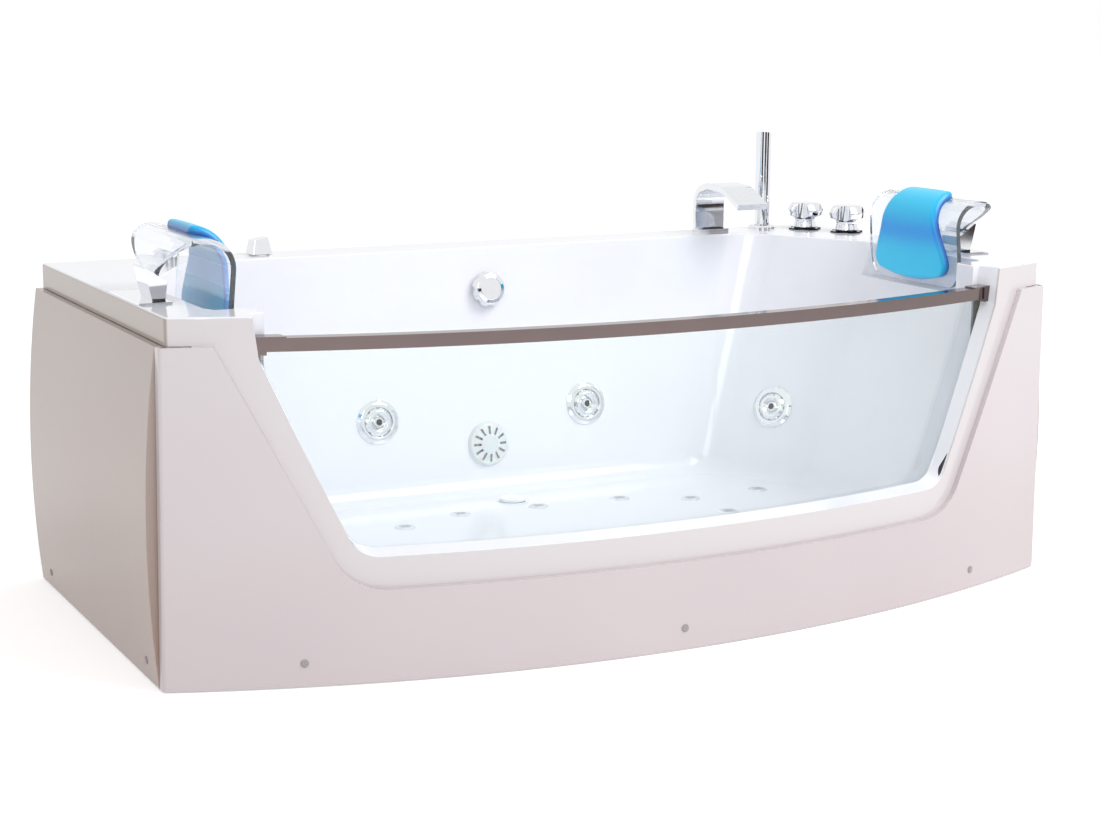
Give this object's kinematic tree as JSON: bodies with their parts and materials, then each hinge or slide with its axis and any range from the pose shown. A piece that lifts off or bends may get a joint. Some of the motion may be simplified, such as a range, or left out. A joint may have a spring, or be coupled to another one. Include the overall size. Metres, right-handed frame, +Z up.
{
  "type": "jetted bathtub",
  "caption": "Rectangular jetted bathtub with a bowed glass front, water jets, floor air jets, deck taps, spout, stick shower and two cushioned headrests.",
  "frame": {"origin": "middle of the bounding box at floor level", "axes": "+X along the tub to the end with the taps, -Y to the glass front, +Z up"},
  "size_m": [1.8, 0.942, 0.8185],
  "materials": {
    "acrylic": "gloss",
    "panel_acrylic": "gloss",
    "glass": "clear",
    "silicone": "matte",
    "polished_steel": "polished",
    "chrome": "polished",
    "zinc_steel": "zinc plated",
    "painted_frame": "powder coated",
    "black_rubber": "matte",
    "pvc": "satin",
    "clear_hose": "satin",
    "abs_white": "gloss",
    "black_plastic": "satin",
    "motor_casting": "cast",
    "brass": "turned",
    "clear_acrylic": "clear",
    "blue_gel": "satin"
  },
  "bodies": {
    "tub": {"tub_shell": "acrylic", "front_apron": "panel_acrylic", "right_end_panel": "panel_acrylic", "left_end_panel": "panel_acrylic", "cover_screws": "polished_steel", "panel_brackets": "zinc_steel", "glass_pane": "glass", "glass_seal": "silicone", "top_rail": "polished_steel", "rail_gasket": "black_rubber", "rail_brackets": "polished_steel", "support_frame": "painted_frame", "levelling_feet": "zinc_steel", "foot_locknuts": "zinc_steel", "jet_bodies": "abs_white", "jet_flanges": "chrome", "suction_body": "abs_white", "suction_cover": "abs_white", "overflow_body": "abs_white", "wall_nuts": "abs_white", "drain_body": "chrome", "waste_trap": "pvc", "overflow_pipe": "pvc", "suction_pipe": "pvc", "water_main": "pvc", "air_main": "clear_hose", "floor_jet_caps": "abs_white", "floor_air_line": "clear_hose", "pump_motor": "motor_casting", "pump_volute": "black_plastic", "machine_plates": "zinc_steel", "blower_housing": "black_plastic", "control_box": "abs_white", "air_valve": "brass", "button_housing": "chrome", "tap_valves": "brass", "tap_plates": "polished_steel", "mixer_pipes": "brass", "spout": "chrome", "spout_shank": "brass", "shower_socket": "chrome", "deck_nuts": "brass", "headrest_bands": "clear_acrylic", "headrest_pads": "blue_gel", "headrest_clamps": "chrome"},
    "air_knob": {"air_knob": "chrome"},
    "blower_fan": {"blower_fan": "abs_white"},
    "cold_tap_handle": {"cold_tap_handle": "chrome"},
    "drain_plug": {"drain_plug": "chrome"},
    "hand_shower": {"hand_shower": "chrome"},
    "hot_tap_handle": {"hot_tap_handle": "chrome"},
    "jet_nozzle_centre": {"jet_nozzle_centre": "chrome"},
    "jet_nozzle_left": {"jet_nozzle_left": "chrome"},
    "jet_nozzle_right": {"jet_nozzle_right": "chrome"},
    "jet_ring_centre": {"jet_ring_centre": "chrome"},
    "jet_ring_left": {"jet_ring_left": "chrome"},
    "jet_ring_right": {"jet_ring_right": "chrome"},
    "overflow_knob": {"overflow_knob": "chrome"},
    "power_button": {"power_button": "chrome"},
    "pump_impeller": {"pump_impeller": "abs_white"}
  },
  "joints": [
    {"name": "jet_ring_left_turn", "type": "hinge", "parent": "tub", "child": "jet_ring_left", "pos_m": [-0.253, 0.31894, 0.279], "axis": [0, -0.9903, 0.1386], "range_deg": [0, 90]},
    {"name": "jet_nozzle_left_tilt", "type": "hinge", "parent": "jet_ring_left", "child": "jet_nozzle_left", "pos_m": [-0.253, 0.32092, 0.27872], "axis": [1, 0, 0], "range_deg": [-12, 12]},
    {"name": "jet_ring_centre_turn", "type": "hinge", "parent": "tub", "child": "jet_ring_centre", "pos_m": [0.21, 0.31894, 0.279], "axis": [0, -0.9903, 0.1386], "range_deg": [0, 90]},
    {"name": "jet_nozzle_centre_tilt", "type": "hinge", "parent": "jet_ring_centre", "child": "jet_nozzle_centre", "pos_m": [0.21, 0.32092, 0.27872], "axis": [1, 0, 0], "range_deg": [-12, 12]},
    {"name": "jet_ring_right_turn", "type": "hinge", "parent": "tub", "child": "jet_ring_right", "pos_m": [0.58888, 0.19505, 0.261], "axis": [-0.8224, -0.4748, 0.3134], "range_deg": [0, 90]},
    {"name": "jet_nozzle_right_tilt", "type": "hinge", "parent": "jet_ring_right", "child": "jet_nozzle_right", "pos_m": [0.59053, 0.196, 0.26037], "axis": [0.5, -0.866, 0], "range_deg": [-12, 12]},
    {"name": "overflow_knob_turn", "type": "hinge", "parent": "tub", "child": "overflow_knob", "pos_m": [0, 0.35324, 0.524], "axis": [0, -0.9903, 0.1386], "range_deg": [0, 90]},
    {"name": "drain_plug_lift", "type": "slide", "parent": "tub", "child": "drain_plug", "axis": [0, 0, 1], "range_m": [0, 0.01]},
    {"name": "air_knob_turn", "type": "hinge", "parent": "tub", "child": "air_knob", "pos_m": [-0.452, 0.428, 0.608], "axis": [0, 0, 1], "range_deg": [0, 180]},
    {"name": "power_button_press", "type": "slide", "parent": "tub", "child": "power_button", "axis": [0, 0, -1], "range_m": [0, 0.003], "stiffness_N_per_m": 600},
    {"name": "hot_tap_turn", "type": "hinge", "parent": "tub", "child": "hot_tap_handle", "pos_m": [0.783, 0.38, 0.608], "axis": [0, 0, 1], "range_deg": [0, 90]},
    {"name": "cold_tap_turn", "type": "hinge", "parent": "tub", "child": "cold_tap_handle", "pos_m": [0.83, 0.29, 0.608], "axis": [0, 0, -1], "range_deg": [0, 90]},
    {"name": "hand_shower_lift", "type": "slide", "parent": "tub", "child": "hand_shower", "axis": [0, 0, 1], "range_m": [0, 0.15]},
    {"name": "pump_shaft_spin", "type": "hinge", "parent": "tub", "child": "pump_impeller", "pos_m": [-0.762, -0.11, 0.168], "axis": [0, 1, 0], "continuous": true},
    {"name": "blower_shaft_spin", "type": "hinge", "parent": "tub", "child": "blower_fan", "pos_m": [0.762, 0.02, 0.12], "axis": [0, 0, 1], "continuous": true}
  ],
  "couplings": [
    {"joint": "drain_plug_lift", "follows": "overflow_knob_turn", "m_per_rad": 0.006366}
  ]
}
